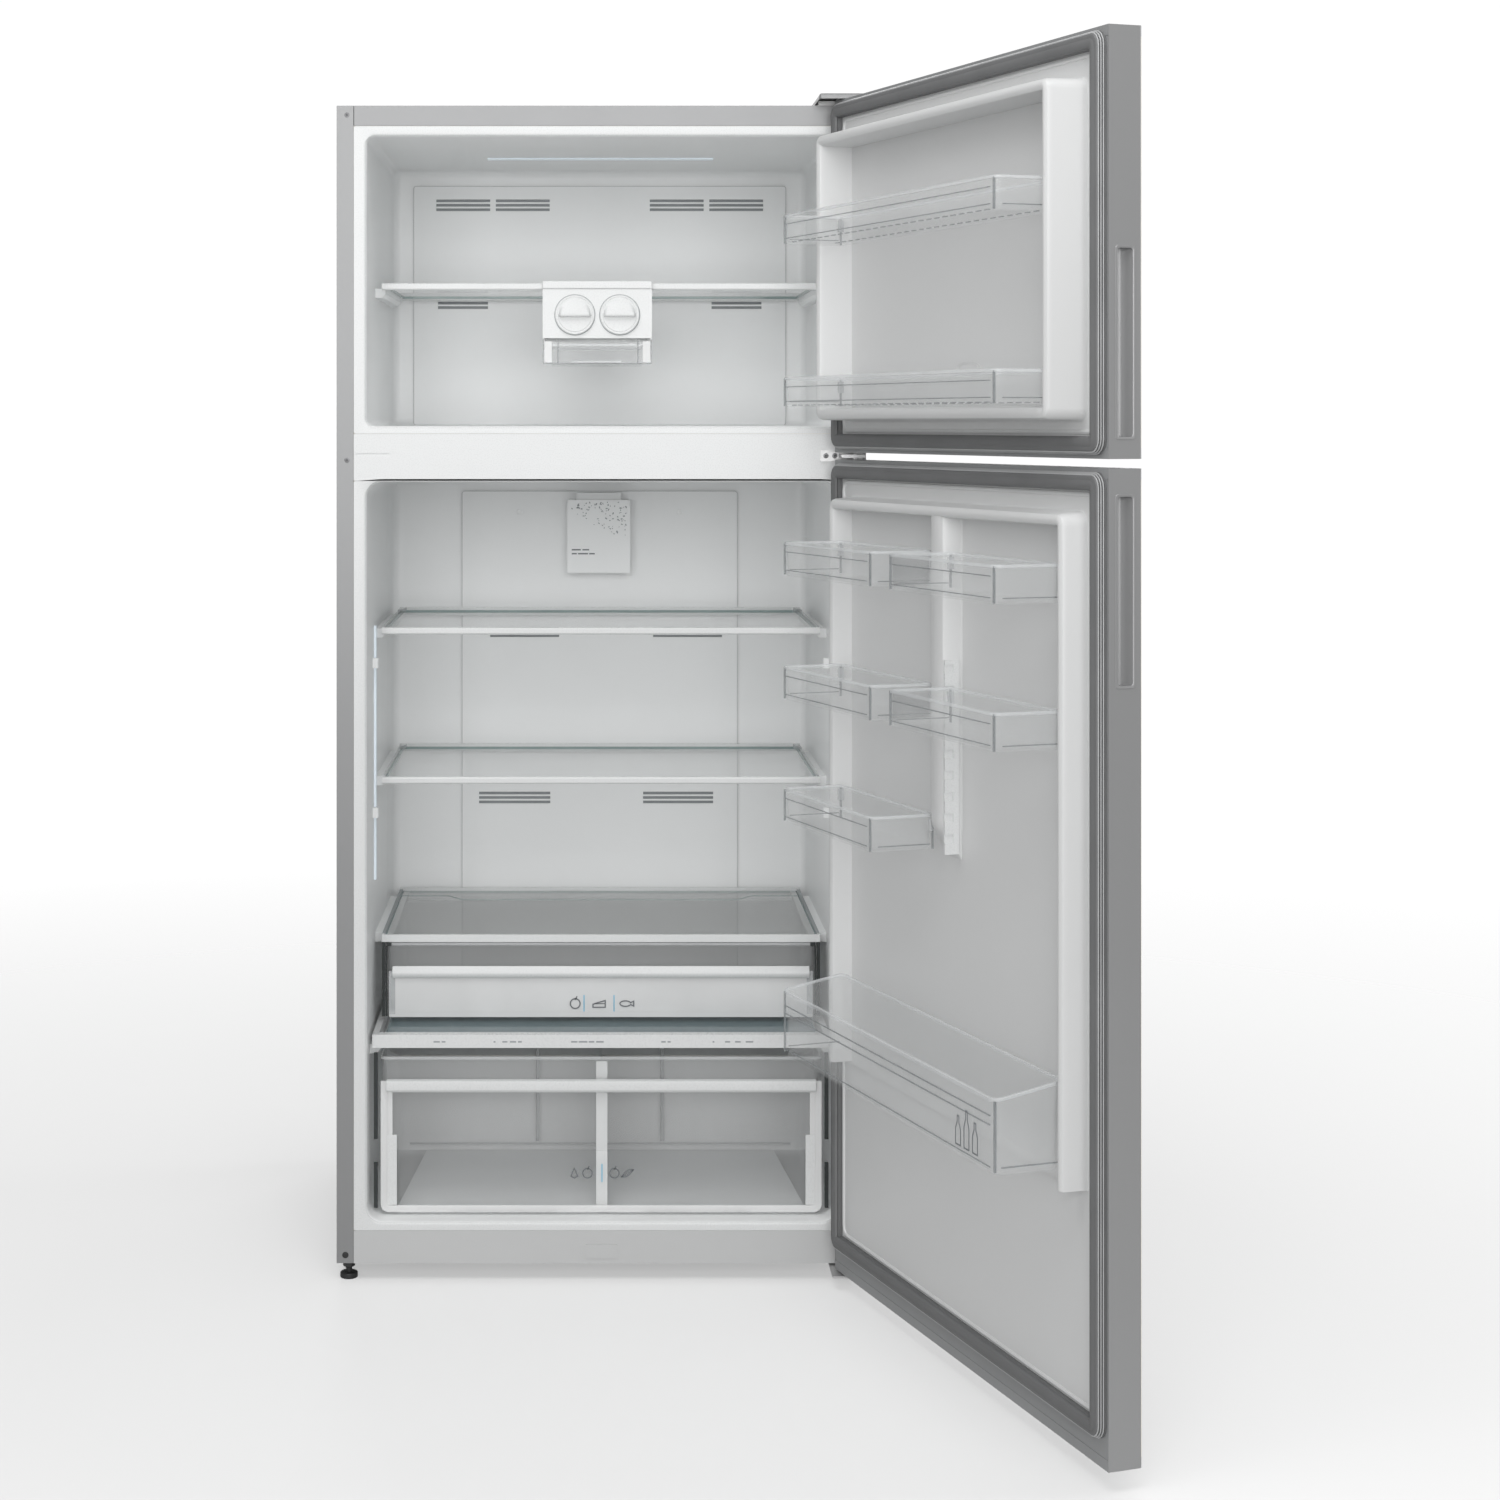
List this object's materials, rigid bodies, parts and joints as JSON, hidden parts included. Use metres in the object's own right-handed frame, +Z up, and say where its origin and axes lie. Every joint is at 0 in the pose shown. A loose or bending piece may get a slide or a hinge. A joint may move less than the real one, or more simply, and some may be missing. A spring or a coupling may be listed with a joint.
{
  "type": "top freezer refrigerator",
  "caption": "Tall two-door refrigerator with the freezer above: hinged doors with clear bins, glass shelves, sliding drawers, twist ice maker.",
  "frame": {"origin": "on the floor, under the middle of the whole object's box with both doors open at rest; the cabinet's own front centre is 132.5 mm to the -X side and 67.9 mm to the +Y side", "axes": "+Z up, +Y from the doors towards the cabinet's back, +X to the hinge side"},
  "size_m": [1.1051, 1.4998, 1.877],
  "materials": {
    "casing_steel": "satin",
    "rear_steel": "satin",
    "pan_steel": "satin",
    "foam": "matte",
    "white_liner": "satin",
    "white_trim": "gloss",
    "panel_white": "satin",
    "shelf_glass": "gloss",
    "clear_plastic": "gloss",
    "grey_plastic": "satin",
    "seal_rubber": "matte",
    "hinge_steel": "satin",
    "screw_steel": "satin",
    "black_enamel": "satin",
    "coil_aluminium": "satin",
    "black_plastic": "matte",
    "lamp_diffuser": "satin"
  },
  "bodies": {
    "cabinet": {"outer_shell": "casing_steel", "rear_panel": "rear_steel", "base_pan": "pan_steel", "cabinet_foam": "foam", "freezer_liner": "white_liner", "fridge_liner": "white_liner", "mullion_cover": "white_liner", "freezer_back_panel": "panel_white", "fridge_duct_panel": "panel_white", "filter_cover": "panel_white", "freezer_shelf_glass": "shelf_glass", "freezer_shelf_trim": "white_trim", "fridge_shelf_glass": "shelf_glass", "fridge_shelf_trim": "white_trim", "lower_shelf_frame": "white_trim", "crisper_cover_frame": "white_trim", "crisper_cover_glass": "shelf_glass", "ice_maker_frame": "white_trim", "plinth": "white_liner", "top_hinge": "hinge_steel", "middle_hinge": "hinge_steel", "bottom_hinge": "hinge_steel", "hinge_cover": "grey_plastic", "screws": "screw_steel", "compressor": "black_enamel", "drip_tray": "black_plastic", "evaporator": "coil_aluminium", "fan_housing": "black_plastic", "machine_cover": "rear_steel", "power_inlet": "black_plastic", "light_strips": "lamp_diffuser"},
    "freezer_door": {"freezer_door_skin": "casing_steel", "freezer_door_end_caps": "grey_plastic", "freezer_door_foam": "foam", "freezer_door_grip": "grey_plastic", "freezer_door_gasket": "seal_rubber", "freezer_door_liner": "white_liner", "freezer_door_bins": "clear_plastic"},
    "fridge_door": {"fridge_door_skin": "casing_steel", "fridge_door_end_caps": "grey_plastic", "fridge_door_foam": "foam", "fridge_door_grip": "grey_plastic", "fridge_door_gasket": "seal_rubber", "fridge_door_liner": "white_liner", "fixed_bins": "clear_plastic", "bottle_bin": "clear_plastic", "height_rack": "white_trim"},
    "adjustable_bin": {"adjustable_bin": "clear_plastic"},
    "chiller": {"chiller_drawer": "clear_plastic"},
    "crisper": {"crisper_drawer": "clear_plastic", "crisper_divider": "white_trim"},
    "ice_bin": {"ice_bin": "clear_plastic"},
    "ice_tray_left": {"ice_tray_left": "panel_white", "ice_knob_left": "white_trim"},
    "ice_tray_right": {"ice_tray_right": "panel_white", "ice_knob_right": "white_trim"},
    "fan": {"fan_wheel": "black_plastic"},
    "foot_left": {"foot_left": "black_plastic"},
    "foot_right": {"foot_right": "black_plastic"},
    "rollers": {"rear_rollers": "black_plastic"}
  },
  "joints": [
    {"name": "freezer_door_hinge", "type": "hinge", "parent": "cabinet", "child": "freezer_door", "pos_m": [0.2651, 0.0303, 1.59], "axis": [0, 0, 1], "range_deg": [-108.9, 16]},
    {"name": "fridge_door_hinge", "type": "hinge", "parent": "cabinet", "child": "fridge_door", "pos_m": [0.2651, 0.0303, 0.66], "axis": [0, 0, 1], "range_deg": [-108.9, 16]},
    {"name": "adjustable_bin_height", "type": "slide", "parent": "fridge_door", "child": "adjustable_bin", "axis": [0, 0, 1], "range_m": [-0.18, 0.03]},
    {"name": "chiller_slide", "type": "slide", "parent": "cabinet", "child": "chiller", "axis": [0, -1, 0], "range_m": [0, 0.175]},
    {"name": "crisper_slide", "type": "slide", "parent": "cabinet", "child": "crisper", "axis": [0, -1, 0], "range_m": [0, 0.33]},
    {"name": "ice_bin_slide", "type": "slide", "parent": "cabinet", "child": "ice_bin", "axis": [0, -1, 0], "range_m": [0, 0.2]},
    {"name": "ice_twist_left", "type": "hinge", "parent": "cabinet", "child": "ice_tray_left", "pos_m": [-0.175, 0.1759, 1.537], "axis": [0, 1, 0], "range_deg": [0, 120], "stiffness_Nm_per_rad": 0.3},
    {"name": "ice_twist_right", "type": "hinge", "parent": "cabinet", "child": "ice_tray_right", "pos_m": [-0.102, 0.1759, 1.537], "axis": [0, 1, 0], "range_deg": [0, 120], "stiffness_Nm_per_rad": 0.3},
    {"name": "fan_spin", "type": "hinge", "parent": "cabinet", "child": "fan", "pos_m": [-0.1325, 0.6479, 1.69], "axis": [0, 1, 0], "continuous": true},
    {"name": "foot_left_screw", "type": "hinge", "parent": "cabinet", "child": "foot_left", "pos_m": [-0.5345, 0.0879, 0.01], "axis": [0, 0, 1], "continuous": true},
    {"name": "foot_right_screw", "type": "hinge", "parent": "cabinet", "child": "foot_right", "pos_m": [0.2695, 0.0879, 0.01], "axis": [0, 0, 1], "continuous": true},
    {"name": "roller_spin", "type": "hinge", "parent": "cabinet", "child": "rollers", "pos_m": [0.2075, 0.6979, 0.014], "axis": [1, 0, 0], "continuous": true}
  ]
}
